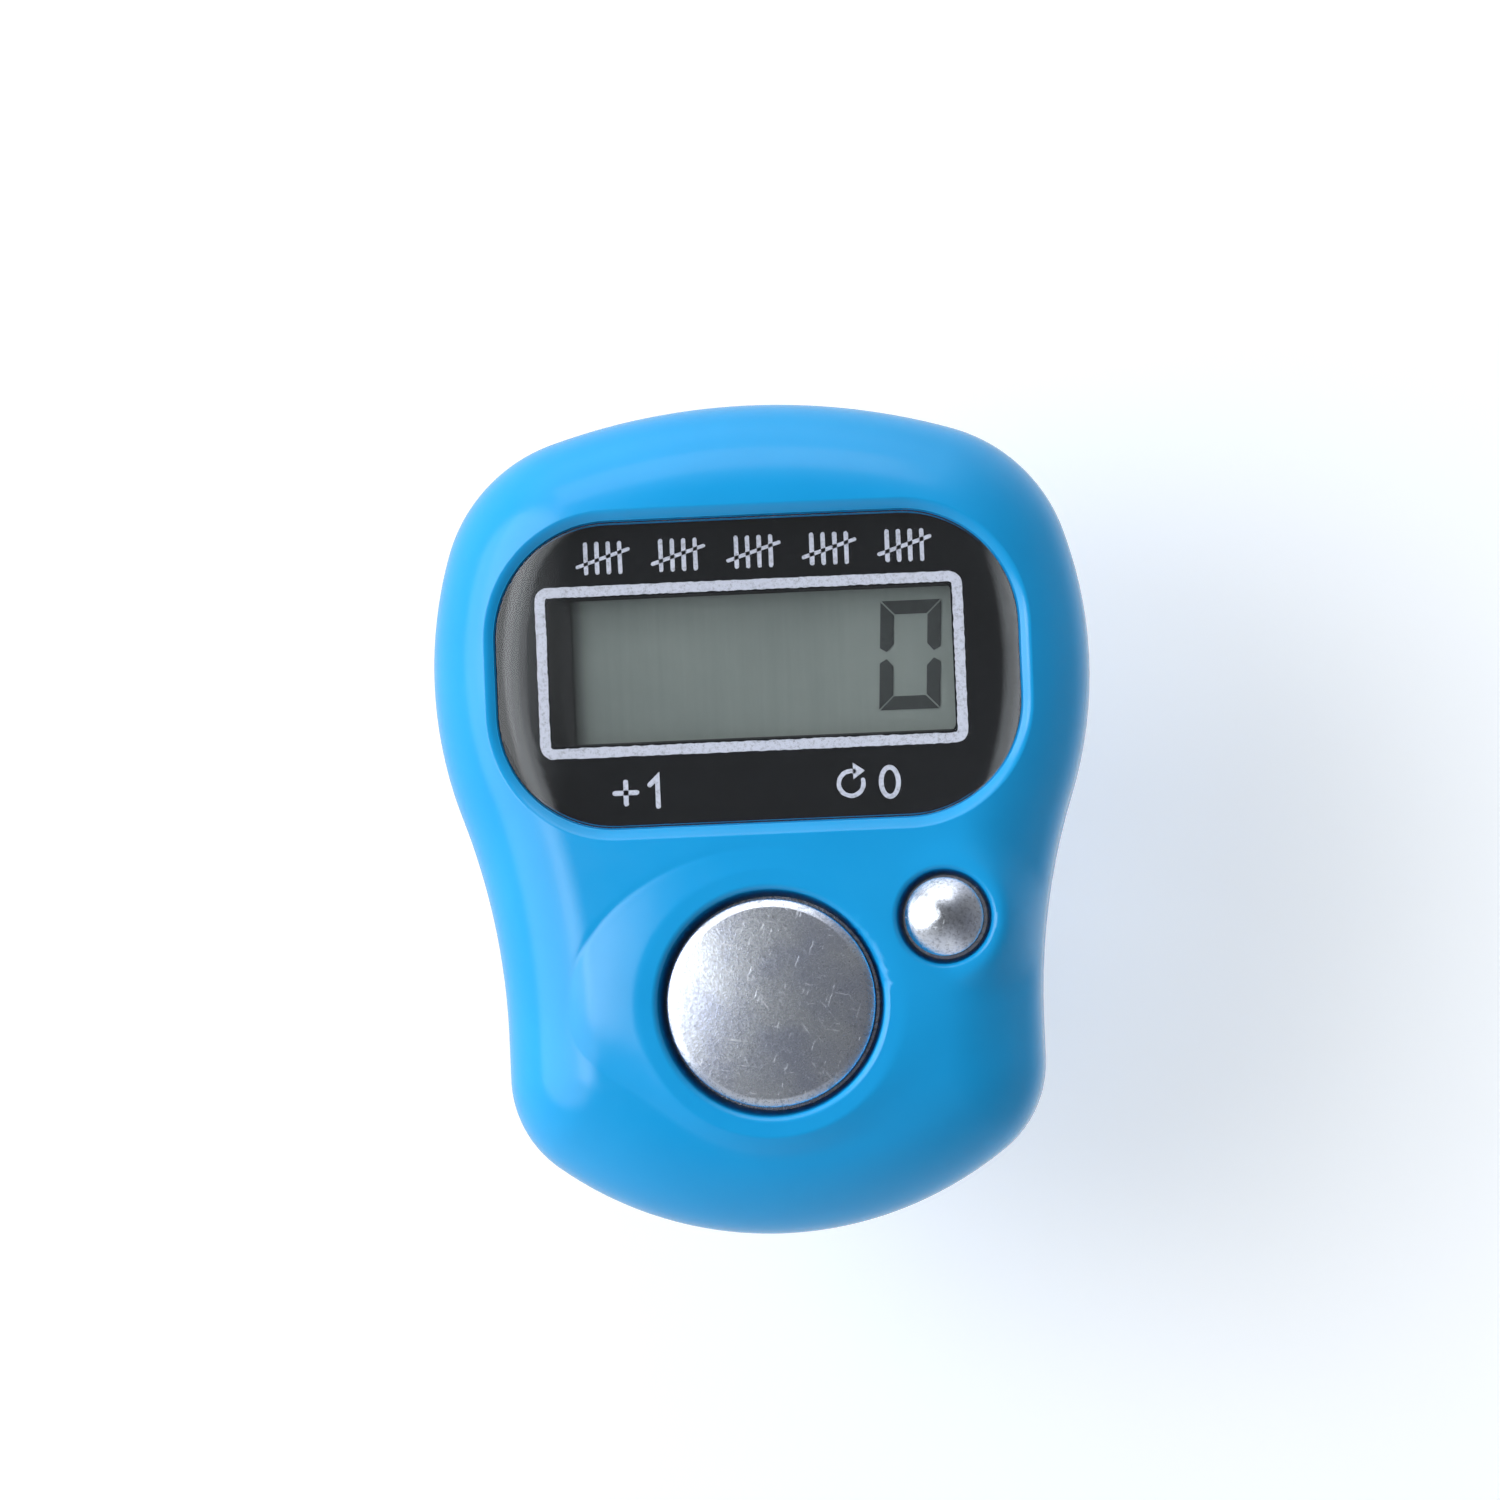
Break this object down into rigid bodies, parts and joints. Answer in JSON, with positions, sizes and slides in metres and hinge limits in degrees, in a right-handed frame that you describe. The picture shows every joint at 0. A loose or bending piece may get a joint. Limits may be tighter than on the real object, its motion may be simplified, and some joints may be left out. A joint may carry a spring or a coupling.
{
  "type": "hand tally counter",
  "caption": "Finger-worn electronic tally counter: domed two-shell case, display window, sprung count and reset keys, coin-cell door and adjustable silicone strap.",
  "frame": {"origin": "middle of the finger loop, on the finger's axis, midway across the strap", "axes": "+Z out of the display, +Y along the case towards the display end, +X to the display's right, along the finger"},
  "size_m": [0.03, 0.0379, 0.0323],
  "materials": {
    "front_cover": "glossy moulded blue",
    "back_cover": "glossy moulded blue",
    "battery_door": "satin moulded blue",
    "display_window": "clear acrylic, lightly scratched",
    "window_print": "black printed film",
    "window_adhesive": "adhesive tape",
    "lcd_holder": "moulded black",
    "lcd_front_polarizer": "grey-green polarising film",
    "lcd_front_glass": "clear glass",
    "lcd_rear_glass": "clear glass",
    "lcd_reflector": "grey-green reflective film",
    "zebra_connector": "striped silicone",
    "circuit_board": "green solder mask",
    "chip_blob": "black epoxy",
    "board_components": "ceramic and tinned metal",
    "contact_pads": "gold-plated copper",
    "count_button": "scratched bright metal",
    "reset_button": "scratched bright metal",
    "count_dome": "translucent grey silicone",
    "reset_dome": "translucent grey silicone",
    "count_contact_pill": "carbon-filled silicone",
    "reset_contact_pill": "carbon-filled silicone",
    "cell_can": "bright steel",
    "cell_gasket": "nylon",
    "cell_cap": "bright steel",
    "battery_contact_negative": "nickel-plated spring brass",
    "battery_contact_positive": "nickel-plated spring brass",
    "case_screws": "zinc-plated steel",
    "board_screws": "zinc-plated steel",
    "finger_strap": "moulded blue silicone"
  },
  "bodies": {
    "case": {"front_cover": "front_cover", "back_cover": "back_cover", "display_window": "display_window", "window_print": "window_print", "window_adhesive": "window_adhesive", "lcd_holder": "lcd_holder", "lcd_front_polarizer": "lcd_front_polarizer", "lcd_front_glass": "lcd_front_glass", "lcd_rear_glass": "lcd_rear_glass", "lcd_reflector": "lcd_reflector", "zebra_connector": "zebra_connector", "circuit_board": "circuit_board", "chip_blob": "chip_blob", "board_components": "board_components", "contact_pads": "contact_pads", "count_dome": "count_dome", "reset_dome": "reset_dome", "cell_can": "cell_can", "cell_gasket": "cell_gasket", "cell_cap": "cell_cap", "battery_contact_negative": "battery_contact_negative", "battery_contact_positive": "battery_contact_positive", "case_screws": "case_screws", "board_screws": "board_screws", "finger_strap": "finger_strap"},
    "count_key": {"count_button": "count_button", "count_contact_pill": "count_contact_pill"},
    "reset_key": {"reset_button": "reset_button", "reset_contact_pill": "reset_contact_pill"},
    "door": {"battery_door": "battery_door"}
  },
  "joints": [
    {"name": "count_press", "type": "slide", "parent": "case", "child": "count_key", "axis": [0, 0, -1], "range_m": [0, 0.0008], "stiffness_N_per_m": 1500, "springref_m": -0.0003, "deforming": ["count_dome"]},
    {"name": "reset_press", "type": "slide", "parent": "case", "child": "reset_key", "axis": [0, 0, -1], "range_m": [0, 0.0006], "stiffness_N_per_m": 1500, "springref_m": -0.0003, "deforming": ["reset_dome"]},
    {"name": "battery_door_turn", "type": "hinge", "parent": "case", "child": "door", "pos_m": [0, -0.0142, 0.0094], "axis": [0, 0, -1], "range_deg": [0, 45]}
  ]
}
